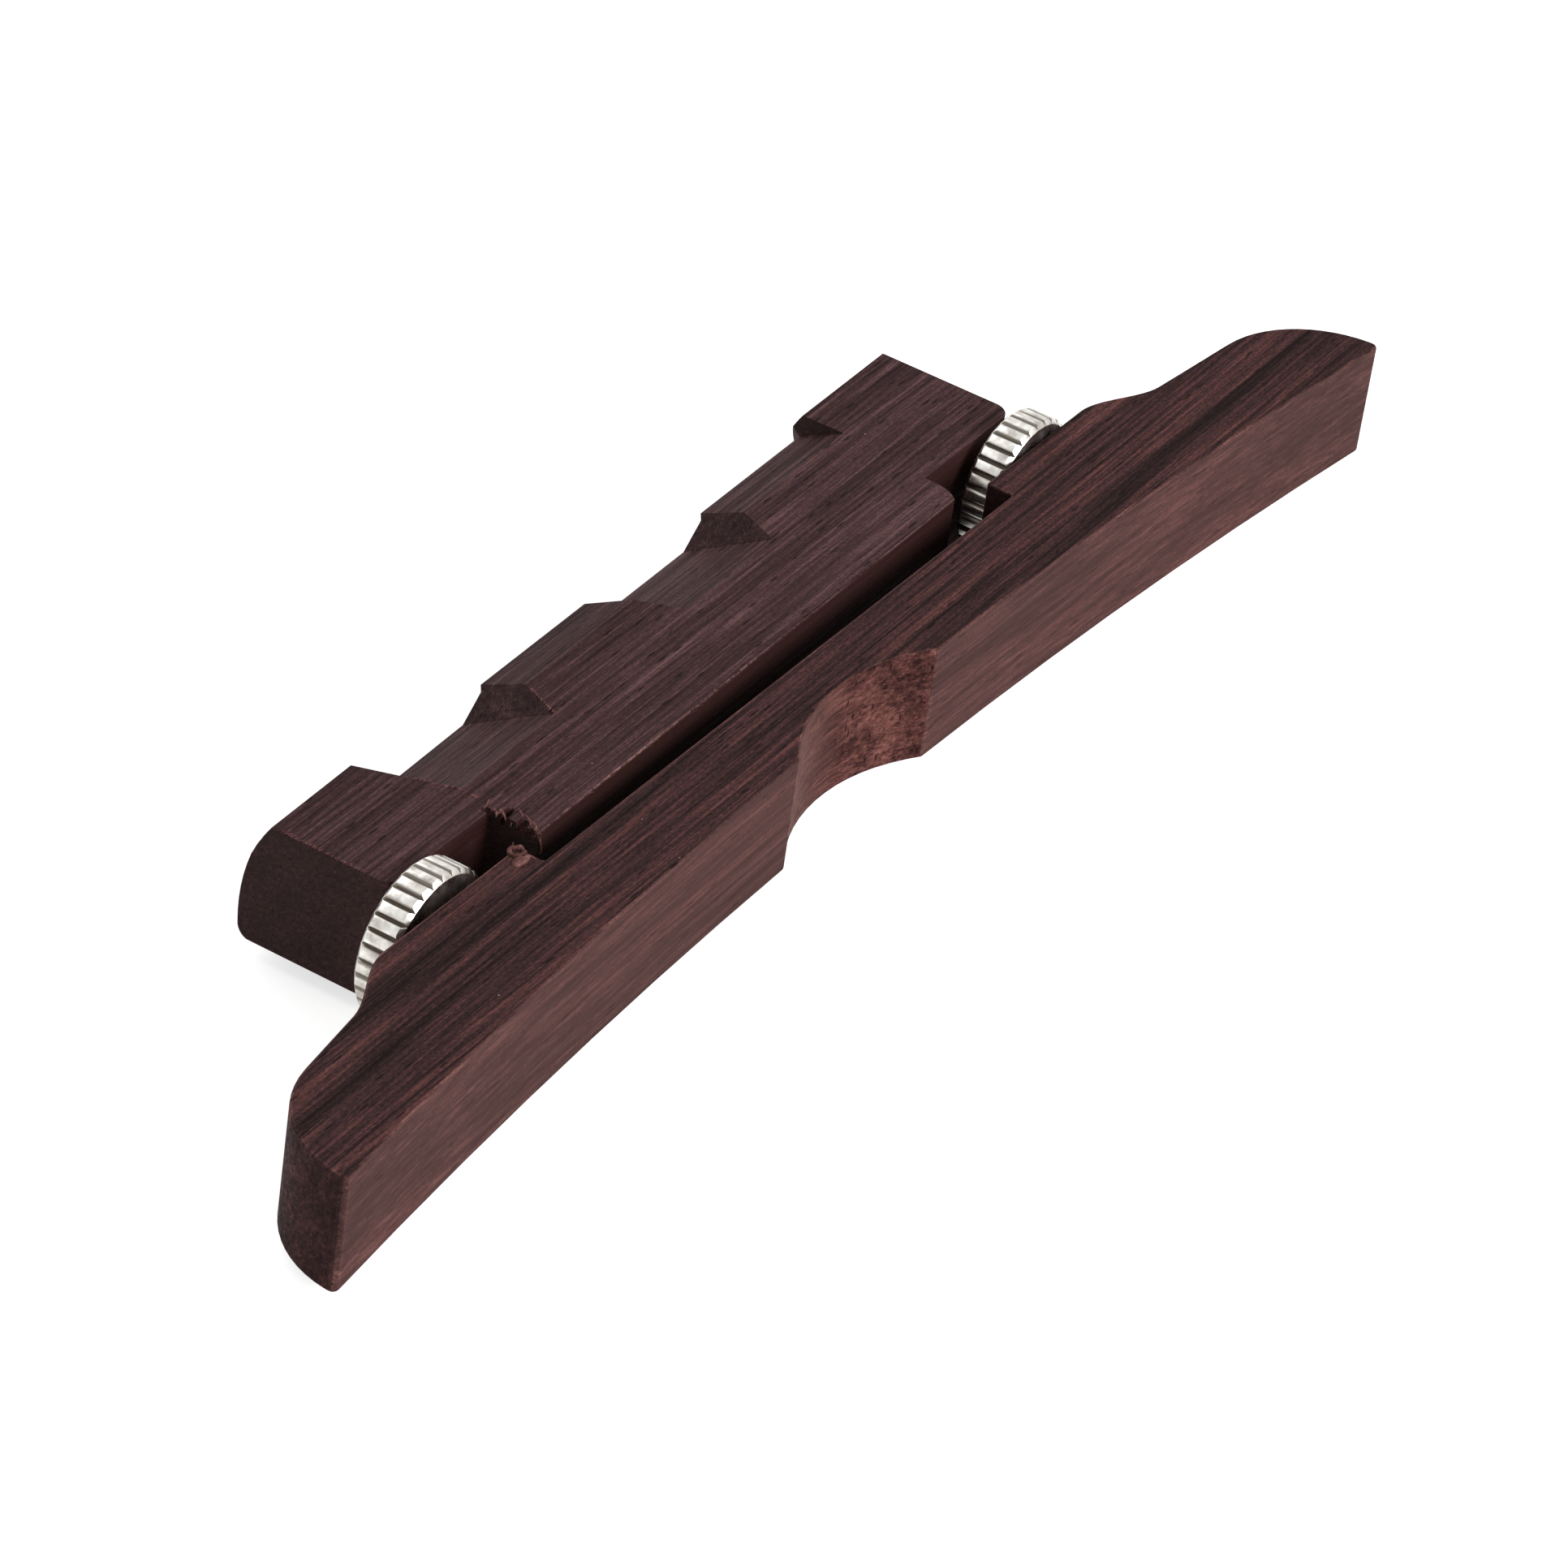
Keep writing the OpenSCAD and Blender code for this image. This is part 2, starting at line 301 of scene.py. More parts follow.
def soften_edges(piece, width, segments=3):
    """Rounds the sharp edges outside the post holes, with the second material slot."""
    select_only(piece)
    bpy.ops.object.mode_set(mode="EDIT")
    bpy.ops.mesh.select_mode(type="EDGE")
    bpy.ops.mesh.select_all(action="DESELECT")
    bpy.ops.mesh.edges_select_sharp(sharpness=math.radians(SHARP_ANGLE))
    bpy.ops.object.mode_set(mode="OBJECT")
    for edge in piece.data.edges:
        if all(in_post_hole(piece.data.vertices[i].co) for i in edge.vertices):
            edge.select = False
    bpy.ops.object.mode_set(mode="EDIT")
    bpy.ops.mesh.bevel(offset=width, segments=segments, affect="EDGES", material=1, clamp_overlap=True,
                       miter_outer="ARC")
    bpy.ops.object.mode_set(mode="OBJECT")
    shade(piece)


soften_edges(base, BASE_SANDING)
soften_edges(saddle, SADDLE_SANDING)
print("Rounded base faces:", len(base.data.polygons), "saddle faces:", len(saddle.data.polygons))

# %% [markdown]
# A thumbwheel is a turned brass disc with straight flutes pressed across its rim, then plated. The press
# rounds both lips of every flute, and the plating softens the other edges a little. The lips are the only
# long edges at the full radius that run along the wheel's axis, so they can be picked by their place.

# %% Thumbwheels
WHEEL_RADIUS = WHEEL_DIAMETER / 2 * MM
WHEEL_FLAT = 8
LIP_LENGTH = 0.5 * MM
LIP_ROUNDING = 0.15 * MM
PLATING = 0.03 * MM


def is_lip(one, other, middle):
    """True for an edge along the axis at the full radius of the wheel with this middle."""
    reach = min(math.hypot(place.x - middle.x, place.z - middle.z) for place in (one, other))
    return reach > WHEEL_RADIUS - NEAR and abs(one.y - other.y) > LIP_LENGTH


wheels = {}
for side in SIDES:
    wheels[side] = copy_of_node("thumbwheel_" + side, "wheel_" + side, flat=WHEEL_FLAT)
    low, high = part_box("thumbwheel_" + side)
    middle = (low + high) / 2
    round_edges(wheels[side], LIP_ROUNDING, lambda one, other: is_lip(one, other, middle))
    soften_edges(wheels[side], PLATING, segments=2)
    print("Wheel", side, "faces:", len(wheels[side].data.polygons))

# %% [markdown]
# A post is a plain length of screw thread. Its thread is seen between the wheel and the base when the
# saddle is raised. One pitch of its profile is drawn on an edge, and a screw modifier winds it round the
# post, with turns to spare at both ends. The ends are then cut square and closed. Rings would be simpler,
# but they don't read as a thread.

# %% One pitch of the thread
POST_RADIUS = 1.5 * MM
THREAD_PITCH = 0.5 * MM
THREAD_DEPTH = 0.3 * MM
PROFILE_STEPS = 8
PROFILE_START = -2 * THREAD_PITCH
GROOVE_SHARES = {2: 1 / 3, 3: 2 / 3, 4: 1, 5: 1, 6: 2 / 3, 7: 1 / 3}


def thread_profile(name):
    """One pitch of the thread, drawn on an edge below the foot of the post."""
    bpy.ops.object.select_all(action="DESELECT")
    bpy.ops.mesh.primitive_plane_add(size=THREAD_PITCH)
    post = bpy.context.active_object
    post.name = name
    post.data.name = name
    select_vertices(post, lambda place: place.x < 0)
    bpy.ops.mesh.delete(type="VERT")
    bpy.ops.mesh.select_all(action="SELECT")
    bpy.ops.mesh.subdivide(number_cuts=PROFILE_STEPS - 1)
    bpy.ops.transform.translate(value=(POST_RADIUS - THREAD_PITCH / 2, PROFILE_START + THREAD_PITCH / 2, 0))
    close = 0.1 * THREAD_PITCH / PROFILE_STEPS
    for step, share in GROOVE_SHARES.items():
        height = PROFILE_START + step / PROFILE_STEPS * THREAD_PITCH
        select_vertices(post, lambda place: abs(place.y - height) < close)
        bpy.ops.transform.translate(value=(-share * THREAD_DEPTH, 0, 0))
    bpy.ops.object.mode_set(mode="OBJECT")
    return post


posts = {side: thread_profile("stud_" + side) for side in SIDES}
print("Corners in one pitch:", len(posts["left"].data.vertices))

# %% The wound posts
TURN_STEPS = 40
SPARE_TURNS = 3
THREAD_SMOOTH_ANGLE = 30


def wind_post(post, node):
    """Winds the profile to the length of the measured post, closes its ends and puts it in its place."""
    low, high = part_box(node)
    length = high.y - low.y
    turns = math.ceil(length / THREAD_PITCH) + SPARE_TURNS
    apply_modifier(post, "SCREW", axis="Y", steps=TURN_STEPS, render_steps=TURN_STEPS, iterations=turns,
                   screw_offset=THREAD_PITCH, angle=math.radians(360))
    bpy.ops.object.mode_set(mode="EDIT")
    bpy.ops.mesh.select_all(action="SELECT")
    bpy.ops.mesh.remove_doubles(threshold=SAME_PLACE)
    for height, inner, outer in ((0, True, False), (length, False, True)):
        bpy.ops.mesh.select_all(action="SELECT")
        bpy.ops.mesh.bisect(plane_co=(0, height, 0), plane_no=(0, 1, 0), use_fill=True, threshold=ON_PLANE,
                            clear_inner=inner, clear_outer=outer)
    bpy.ops.mesh.select_all(action="SELECT")
    bpy.ops.mesh.remove_doubles(threshold=SAME_PLACE)
    bpy.ops.mesh.normals_make_consistent(inside=False)
    bpy.ops.object.mode_set(mode="OBJECT")
    post.location = ((low.x + high.x) / 2, low.y, (low.z + high.z) / 2)
    select_only(post)
    bpy.ops.object.transform_apply(location=True, rotation=True, scale=True)
    bpy.ops.object.shade_smooth_by_angle(angle=math.radians(THREAD_SMOOTH_ANGLE))


for side in SIDES:
    wind_post(posts[side], "post_" + side)
    print("Post", side, "faces:", len(posts[side].data.polygons))

# %% [markdown]
# Colours are written as they look on a screen, so one function turns them into the linear values that
# the shaders need. One more function adds a node, sets it and links it, for every kind of node.


# %% Node helpers
def linear(hex_colour):
    """Linear RGBA of a screen colour such as #4a3130."""
    screen = [int(hex_colour[i:i + 2], 16) / 255 for i in (1, 3, 5)]
    return [c / 12.92 if c <= 0.04045 else ((c + 0.055) / 1.055) ** 2.4 for c in screen] + [1]


def add_node(tree, kind, settings=None, inputs=None, stops=None):
    """Adds a node with its settings. An input that is given a socket is linked to it."""
    node = tree.nodes.new(kind)
    for name, value in (settings or {}).items():
        setattr(node, name, value)
    for name, value in (inputs or {}).items():
        if isinstance(value, bpy.types.NodeSocket):
            tree.links.new(value, node.inputs[name])
        else:
            node.inputs[name].default_value = value
    if stops:
        elements = node.color_ramp.elements
        while len(elements) < len(stops):
            elements.new(1)
        for element, (place, colour) in zip(elements, stops):
            element.position = place
            element.color = linear(colour)
    return node


def new_material(name):
    """An empty material, its node tree and its output node."""
    material = bpy.data.materials.new(name)
    material.use_nodes = True
    material.node_tree.nodes.clear()
    output = add_node(material.node_tree, "ShaderNodeOutputMaterial")
    return material, material.node_tree, output


# Noise seldom leaves this range.
NOISE_LOW = 0.3
NOISE_HIGH = 0.7
print("Mid grey on screen is", round(linear("#808080")[0], 3), "in linear light")

# %% [markdown]
# Indian rosewood is a heavy plum-brown wood with dark growth bands, broken reddish streaks and open pores,
# which show as short dark dashes along the grain and as dots on a cut end. It is only sanded here, so it
# is dull. The pattern is a solid one in the piece's own space, far longer along the grain than across it,
# so it runs round every corner as in real wood. A flat texture couldn't do that.

# %% Grain of the wood
# Sizes along X, Y and Z in mm. The finest fibres are drawn about twice as wide as real ones, to show.
BAND_SIZE = (60, 1.5, 2.8)
STREAK_SIZE = (24, 0.3, 0.4)
FIBRE_SIZE = (5, 0.11, 0.11)
FUZZ_SIZE = (0.3, 0.15, 0.15)
FUZZ_WEIGHT = 0.2
GRAIN_RUNOUT = 0.6


def wood_pattern(tree, place, grain, size, kind, **inputs):
    """A texture of the given kind, stretched along the grain."""
    turned = add_node(tree, "ShaderNodeMapping", {"vector_type": "TEXTURE"}, {
        "Vector": place.outputs["Object"], "Location": Vector(grain["shift"]) * MM,
        "Rotation": (math.radians(grain["ring_tilt"]), 0, math.radians(GRAIN_RUNOUT)),
        "Scale": Vector(size) * MM})
    return add_node(tree, kind, None, {"Vector": turned.outputs["Vector"], "Scale": 1, **inputs})


def wood_tone(tree, place, grain):
    """Bands, streaks and fibres added with their weights, and the streaks by themselves. The fuzz that
    sanding leaves swings about zero."""
    noise = "ShaderNodeTexNoise"
    band = wood_pattern(tree, place, grain, BAND_SIZE, noise, Detail=3, Roughness=0.5, Distortion=0.3)
    streak = wood_pattern(tree, place, grain, STREAK_SIZE, noise, Detail=3, Roughness=0.6)
    fibre = wood_pattern(tree, place, grain, FIBRE_SIZE, noise, Detail=1, Roughness=0.6)
    fuzz = wood_pattern(tree, place, grain, FUZZ_SIZE, noise, Detail=1, Roughness=0.6)
    layers = add_node(tree, "ShaderNodeCombineXYZ", None, {
        "X": band.outputs["Fac"], "Y": streak.outputs["Fac"], "Z": fibre.outputs["Fac"]})
    grain_tone = add_node(tree, "ShaderNodeVectorMath", {"operation": "DOT_PRODUCT"}, {
        0: layers.outputs["Vector"], 1: grain["weights"]})
    fuzz_tone = add_node(tree, "ShaderNodeMapRange", {"clamp": False}, {
        "Value": fuzz.outputs["Fac"], "To Min": -0.5 * FUZZ_WEIGHT, "To Max": 0.5 * FUZZ_WEIGHT})
    tone = add_node(tree, "ShaderNodeMath", {"operation": "ADD"}, {
        0: grain_tone.outputs["Value"], 1: fuzz_tone.outputs["Result"]})
    return tone.outputs["Value"], streak.outputs["Fac"]


print("Streaks are", STREAK_SIZE[0], "mm long and", STREAK_SIZE[1], "mm wide")

# %% [markdown]
# Four things change the colour of the grain from place to place. Pores are pits in it. A cut end drinks
# more finish, so it is darker and its pattern fainter. Faces turned to one side get painted light and
# shade:
# lighter where the lamps fall on them, darker under the saddle. A few specks of sanding dust are left over.
# Each is one more layer of colour.

# %% Pores, ends and dust
PORES_ALONG = (3.4, 0.46, 0.46)
PORES_ACROSS = (0.55, 0.55, 1.8)
PORE_SHARE = 0.2
PORE_FLOOR = 0.4 * PORE_SHARE
PORE_DARKNESS = 0.85
END_START = 0.6
END_FULL = 0.95
END_SHARE = 0.5
DUST_SPACING = 3
DUST_SHARE = 0.022
DUST_CORE = 0.5 * DUST_SHARE
DUST_COVER = 0.7
DUST_COLOUR = "#b3a6a2"


def pore_depth(tree, place, grain):
    """How deep a point lies in an open pore."""
    pore = wood_pattern(tree, place, grain, grain["pores"], "ShaderNodeTexVoronoi")
    pit = add_node(tree, "ShaderNodeMapRange", {"interpolation_type": "SMOOTHSTEP"}, {
        "Value": pore.outputs["Distance"], "From Min": PORE_SHARE, "From Max": PORE_FLOOR,
        "To Min": 0, "To Max": PORE_DARKNESS})
    return pit.outputs["Result"]


def colour_ends_and_painted_light(tree, place, grain, colour):
    """Lays the colour of cut ends, and painted light and shade on the faces turned to one side, over the
    given colour.
    """
    facing = add_node(tree, "ShaderNodeSeparateXYZ", None, {0: place.outputs["Normal"]})
    endward = add_node(tree, "ShaderNodeMath", {"operation": "ABSOLUTE"}, {0: facing.outputs["X"]})
    end_grain = add_node(tree, "ShaderNodeMapRange", None, {
        "Value": endward.outputs["Value"], "From Min": END_START, "From Max": END_FULL,
        "To Max": END_SHARE})
    ends = add_node(tree, "ShaderNodeMix", {"data_type": "RGBA"}, {
        0: end_grain.outputs["Result"], 6: colour, 7: linear(grain["end_colour"])})
    axis, painted_light_start, painted_light_full = grain["painted_light_side"]
    painted_light_mask = add_node(tree, "ShaderNodeMapRange", None, {
        "Value": facing.outputs[axis], "From Min": painted_light_start, "From Max": painted_light_full,
        "To Max": grain["painted_light_share"]})
    sides = add_node(tree, "ShaderNodeMix", {"data_type": "RGBA"}, {
        0: painted_light_mask.outputs["Result"], 6: ends.outputs[2], 7: linear(grain["painted_light_colour"])})
    return sides.outputs[2]


def colour_with_dust(tree, place, grain, colour):
    """Lays specks of pale dust over the given colour."""
    dust = wood_pattern(tree, place, grain, (DUST_SPACING,) * 3, "ShaderNodeTexVoronoi")
    speck = add_node(tree, "ShaderNodeMapRange", {"interpolation_type": "SMOOTHSTEP"}, {
        "Value": dust.outputs["Distance"], "From Min": DUST_SHARE, "From Max": DUST_CORE,
        "To Min": 0, "To Max": DUST_COVER})
    dusty = add_node(tree, "ShaderNodeMix", {"data_type": "RGBA"}, {
        0: speck.outputs["Result"], 6: colour, 7: linear(DUST_COLOUR)})
    return dusty.outputs[2]


print("Pores are", PORES_ALONG[0], "mm apart along the grain, dust specks", DUST_SPACING, "mm")

# %% [markdown]
# The layers now become one material. Streaks are a little glossier where the wood is dense, and pores
# sink into the surface, so a low side light shows the grain. Sanded wood has almost no shine of its own.

# %% Rosewood
BAND_STOPS = (0.38, 0.45, 0.51, 0.57, 0.65)
PORE_COLOUR = "#170d0c"
RELIEF_HEIGHT = 0.1 * MM
RELIEF_STRENGTH = 0.7
SANDED_ROUGHNESS = 0.78
DENSE_ROUGHNESS = 0.58
SANDED_SHINE = 0.03


def rosewood(name, bands, grain):
    """Sanded rosewood. The bands are its colours from dark to pale. The grain holds the weights of bands,
    streaks and fibres, the colour of cut ends and the colour painted on one side as its light and shade,
    how the growth rings are turned and shifted, and the spacing of the pores. The side is an axis with the
    normals where its painted light and shade starts and is full."""
    material, tree, output = new_material(name)
    place = add_node(tree, "ShaderNodeTexCoord")
    tone, streak = wood_tone(tree, place, grain)
    pit = pore_depth(tree, place, grain)
    colour = add_node(tree, "ShaderNodeValToRGB", None, {"Fac": tone}, list(zip(BAND_STOPS, bands)))
    with_pores = add_node(tree, "ShaderNodeMix", {"data_type": "RGBA"}, {
        0: pit, 6: colour.outputs["Color"], 7: linear(PORE_COLOUR)})
    by_side = colour_ends_and_painted_light(tree, place, grain, with_pores.outputs[2])
    relief = add_node(tree, "ShaderNodeMath", {"operation": "SUBTRACT"}, {0: tone, 1: pit})
    bump = add_node(tree, "ShaderNodeBump", None, {
        "Strength": RELIEF_STRENGTH, "Distance": RELIEF_HEIGHT, "Height": relief.outputs["Value"]})
    rough = add_node(tree, "ShaderNodeMapRange", None, {
        "Value": streak, "From Min": NOISE_LOW, "From Max": NOISE_HIGH,
        "To Min": SANDED_ROUGHNESS, "To Max": DENSE_ROUGHNESS})
    shader = add_node(tree, "ShaderNodeBsdfPrincipled", None, {
        "Base Color": colour_with_dust(tree, place, grain, by_side), "Roughness": rough.outputs["Result"],
        "Specular IOR Level": SANDED_SHINE, "Normal": bump.outputs["Normal"]})
    tree.links.new(shader.outputs["BSDF"], output.inputs["Surface"])
    return material


# %% [markdown]
# The base and the saddle come from different planks. The saddle's wood is finer and darker, and its growth
# rings stand steeper. Each also has a paler, drier wood on its worn edges, with the same grain, so that a
# streak runs on over an edge.

# %% Wood of the base and the saddle
FEET_SIDE = ("Y", -0.5, -0.9)
# On the base the faces towards the feet are painted lighter: painted light.
BASE_GRAIN = {"weights": (0.34, 0.42, 0.24), "end_colour": "#3b2b29", "painted_light_colour": "#5a3f3c",
              "painted_light_share": 0.45, "painted_light_side": FEET_SIDE, "ring_tilt": 35, "shift": (0, 1.4, 0),
              "pores": PORES_ALONG}
# On the saddle the underside towards the feet is painted darker: painted shade where it lies over the base.
SADDLE_GRAIN = {"weights": (0.24, 0.42, 0.34), "end_colour": "#544342", "painted_light_colour": "#2e1a17",
                "painted_light_share": 0.88, "painted_light_side": FEET_SIDE, "ring_tilt": 60, "shift": (40, 7, 3),
                "pores": PORES_ALONG}
base_wood = rosewood("sanded_rosewood_base", ("#1e1515", "#2f2020", "#3f2b2b", "#563735", "#724a46"),
                     BASE_GRAIN)
base_edge = rosewood("worn_rosewood_base_edge", ("#2b1d1c", "#422e2c", "#523938", "#6b4844", "#8a635b"),
                     BASE_GRAIN)
saddle_wood = rosewood("sanded_rosewood_saddle", ("#2a1c1d", "#392829", "#443031", "#543b3c", "#6a4e4d"),
                       SADDLE_GRAIN)
saddle_edge = rosewood("worn_rosewood_saddle_edge", ("#35201f", "#57403f", "#6e5250", "#836562", "#9b7d79"),
                       SADDLE_GRAIN)
for piece, face_wood, edge_wood in ((base, base_wood, base_edge), (saddle, saddle_wood, saddle_edge)):
    piece.data.materials[0] = face_wood
    piece.data.materials[1] = edge_wood
    print("Rosewood on", piece.name, "and on its worn edges:", face_wood.name, edge_wood.name)

# %% [markdown]
# The notch between the feet was cut across the grain, so its wall is redder and shows the mouths of the
# pores. It is the same wood, so it takes the base's grain with a few changes. Its faces are picked by their
# place and normal, and they get a third material slot.

# %% The notch
NOTCH_HALF = 7.6 * MM
NOTCH_TURN = -0.6
NOTCH_SLOT = 2
RIGHT_SIDE = ("X", -0.1, 0.3)
# In the notch the faces turned towards +X are painted lighter: painted light.
NOTCH_GRAIN = {**BASE_GRAIN, "painted_light_colour": "#5c423e", "painted_light_share": 0.75, "painted_light_side": RIGHT_SIDE,
               "ring_tilt": 0, "pores": PORES_ACROSS}
notch_wood = rosewood("cut_rosewood_notch", ("#2a1817", "#442927", "#583632", "#6d4540", "#865a54"),
                      NOTCH_GRAIN)
base.data.materials.append(notch_wood)
notch_faces = [face for face in base.data.polygons
               if abs(face.center.x) < NOTCH_HALF and face.normal.y < NOTCH_TURN]
for face in notch_faces:
    face.material_index = NOTCH_SLOT
print("Faces of the notch:", len(notch_faces))

# %% [markdown]
# The saw tore the wood at the left rebate, so the corner of the saddle is ragged. The bites are cut out
# with rough balls, and each cut takes the paler colour of torn wood from its ball. Bump in the material
# couldn't change the outline of the corner, which is what the eye sees first.

# %% The torn corner
torn_wood = rosewood("torn_rosewood", ("#3c2625", "#573937", "#694845", "#7a5450", "#916e68"), SADDLE_GRAIN)
TEAR_SIZE = 0.35 * MM
BALL_ROUGHNESS = 0.35
rough_cloud = bpy.data.textures.new("torn_edge", "CLOUDS")
rough_cloud.noise_scale = TEAR_SIZE
rough_cloud.noise_depth = 3


def roughen(piece, height):
    """Applies the piece's place, then pushes its surface in and out by up to half the height."""
    select_only(piece)
    bpy.ops.object.transform_apply(location=True, rotation=True, scale=True)
    apply_modifier(piece, "DISPLACE", texture=rough_cloud, texture_coords="LOCAL", strength=height,
                   mid_level=0.5)
    piece.data.materials.append(torn_wood)


def rough_ball(name, place, size):
    """A ragged ball with the given half sizes in millimetres."""
    bpy.ops.object.select_all(action="DESELECT")
    bpy.ops.mesh.primitive_ico_sphere_add(subdivisions=4, radius=MM, location=at(*place), scale=size)
    ball = bpy.context.active_object
    ball.name = name
    roughen(ball, BALL_ROUGHNESS * min(size) * MM)
    return ball


BITES = (((-23.9, 12.75, 3.88), (0.75, 0.28, 0.8)), ((-24.05, 11.5, 3.88), (0.5, 0.4, 0.7)),
         ((-24.35, 13.8, 3.88), (0.28, 0.35, 0.5)), ((-24.2, 10.7, 3.88), (0.3, 0.3, 0.5)))
for place, size in BITES:
    ball = rough_ball("bite", place, size)
    apply_modifier(saddle, "BOOLEAN", object=ball, operation="DIFFERENCE", solver="EXACT",
                   material_mode="TRANSFER")
    bpy.data.objects.remove(ball)
shade(saddle)
print("Bites in the saddle:", len(BITES), "materials:", [m.name for m in saddle.data.materials])

# %% [markdown]
# Torn fibres point out of the corner, and finer ones fray along edges where the saw left the wood. A fibre
# is modelled once, as a cone that is cut into lengths and bent. Its copies are stretched from their root to
# their tip, so each can be placed by two points. Hair particles could do it, but they aren't meshes.

# %% One fibre
FIBRE_LENGTH = 1 * MM
ROOT_SHARE = 0.12
TIP_SHARE = 0.012
FIBRE_BENDS = {0.25: 0.05, 0.5: 0.09, 0.75: 0.07}

bpy.ops.object.select_all(action="DESELECT")
bpy.ops.mesh.primitive_cone_add(vertices=6, radius1=ROOT_SHARE * FIBRE_LENGTH,
                                radius2=TIP_SHARE * FIBRE_LENGTH, depth=FIBRE_LENGTH,
                                location=(0, 0, FIBRE_LENGTH / 2))
fibre = bpy.context.active_object
select_only(fibre)
bpy.ops.object.transform_apply(location=True, rotation=True, scale=True)
bpy.ops.object.mode_set(mode="EDIT")
for share in FIBRE_BENDS:
    bpy.ops.mesh.select_all(action="SELECT")
    bpy.ops.mesh.bisect(plane_co=(0, 0, share * FIBRE_LENGTH), plane_no=(0, 0, 1), threshold=ON_PLANE)
for share, bend in FIBRE_BENDS.items():
    select_vertices(fibre, lambda place: abs(place.z - share * FIBRE_LENGTH) < 0.01 * FIBRE_LENGTH)
    bpy.ops.transform.translate(value=(bend * FIBRE_LENGTH, 0, 0))
bpy.ops.object.mode_set(mode="OBJECT")
fibre.data.materials.append(torn_wood)
print("Fibre faces:", len(fibre.data.polygons))

# %% Copies of the fibre
STRAY = 0.3
LEAN_RANGE = (0.5, 1.5)
WIDTH_RANGE = (0.6, 1.3)


def fibre_copy(root, tip, width):
    """A copy of the fibre from root to tip, wider or thinner by the given factor."""
    run = at(*tip) - at(*root)
    copy = bpy.data.objects.new("fibre_copy", fibre.data.copy())
    scene.collection.objects.link(copy)
    copy.location = at(*root)
    copy.rotation_euler = run.to_track_quat("Z", "Y").to_euler()
    copy.scale = (width, width, run.length / FIBRE_LENGTH)
    select_only(copy)
    bpy.ops.object.transform_apply(location=True, rotation=True, scale=True)
    return copy


def frayed_line(start, end, count, lean, width):
    """Fibres along a line. Each leans by about the given step and is about as wide as given."""
    fibres = []
    for step in range(count):
        root = Vector(start).lerp(Vector(end), (step + random.random()) / count)
        stray = Vector([random.uniform(-STRAY, STRAY) * c for c in (lean[1], lean[0], 0)])
        tip = root + random.uniform(*LEAN_RANGE) * Vector(lean) + stray
        fibres.append(fibre_copy(root, tip, width * random.uniform(*WIDTH_RANGE)))
    return fibres


def join_as(name, pieces):
    """Joins pieces into one that has the given name."""
    select_only(*pieces)
    bpy.ops.object.join()
    pieces[0].name = name
    pieces[0].data.name = name
    bpy.ops.object.shade_smooth()
    return pieces[0]


# %% Fibres on the saddle
# Root, tip and width of each fibre at the torn corner.
TORN_EDGE = (
    ((-23.7, 13.3, 3.8), (-24.62, 12.3, 3.95), 1.2),
    ((-23.9, 13.6, 3.8), (-24.6, 13.0, 3.9), 1.3),
    ((-23.4, 14.3, 3.86), (-24.5, 14.0, 3.95), 0.9),
    ((-23.3, 13.0, 3.85), (-22.9, 12.7, 4.15), 0.7),
    ((-23.0, 12.5, 3.8), (-23.75, 11.75, 3.95), 1.2),
    ((-23.2, 11.9, 3.8), (-24.0, 11.0, 3.95), 1.3),
    ((-23.5, 11.2, 3.8), (-24.3, 10.4, 3.95), 1.4),
    ((-23.9, 10.7, 3.8), (-24.35, 10.0, 3.8), 1.2),
    ((-24.1, 10.4, 3.9), (-24.2, 10.0, 2.1), 1.3),
    ((-24.05, 10.3, 3.5), (-24.4, 9.8, 2.7), 0.8),
    ((-23.95, 12.4, 3.7), (-24.55, 12.0, 3.7), 0.9))
# Start, end, number, lean and width of the fibres along the left ridge's wall, from there down to the torn
# corner, along the left end, along the second ridge's wall and along the planed underside.
FRAYED_LINES = (
    ((-24.9, 19.2, 3.86), (-23.75, 16.3, 3.86), 14, (0.14, -0.4, 0.05), 0.7),
    ((-23.75, 16.3, 3.86), (-23.8, 14.7, 3.86), 8, (0.14, -0.4, 0.05), 0.7),
    ((-34.1, 21.4, 3.88), (-34.1, 15.4, 3.88), 26, (0.22, -0.2, 0.03), 0.7),
    ((-12.35, 19, 3.85), (-13.5, 16.4, 3.85), 10, (-0.35, -0.1, 0.1), 0.9),
    ((-23.4, 10.3, 3.88), (4, 10.7, 3.88), 40, (0.9, 0.02, 0.01), 0.4))

random.seed(4)
torn_pieces = [fibre_copy(*entry) for entry in TORN_EDGE]
for entry in FRAYED_LINES:
    torn_pieces += frayed_line(*entry)
torn_fibres = join_as("torn_fibres", torn_pieces)
print("Fibres:", len(torn_pieces), "faces:", len(torn_fibres.data.polygons))

# %% [markdown]
# A small curl of torn wood was left on the base, just below the torn corner. It is a rough ring on a flat
# lump, with two fibres. The ring and the lump are made ragged in the same way as the balls above, so they
# look like the same tear.

# %% The curl on the base
CURL_RADIUS = 0.42 * MM
CURL_THICKNESS = 0.16 * MM
CURL_ROUGHNESS = 0.26 * MM

bpy.ops.object.select_all(action="DESELECT")
bpy.ops.mesh.primitive_torus_add(location=at(-26.72, 10.08, 4.02), major_radius=CURL_RADIUS,
                                 minor_radius=CURL_THICKNESS, major_segments=40, minor_segments=16)
curl = bpy.context.active_object
roughen(curl, CURL_ROUGHNESS)
lump = rough_ball("lump", (-27.25, 9.45, 3.98), (0.75, 0.42, 0.2))
chips = [curl, lump, fibre_copy((-26.5, 10.3, 4.0), (-26.1, 10.75, 4.1), 1.1),
         fibre_copy((-26.8, 9.6, 4.05), (-26.55, 8.8, 4.0), 1.4)]
torn_curl = join_as("torn_curl", chips)
bpy.data.objects.remove(fibre)
print("Curl faces:", len(torn_curl.data.polygons))
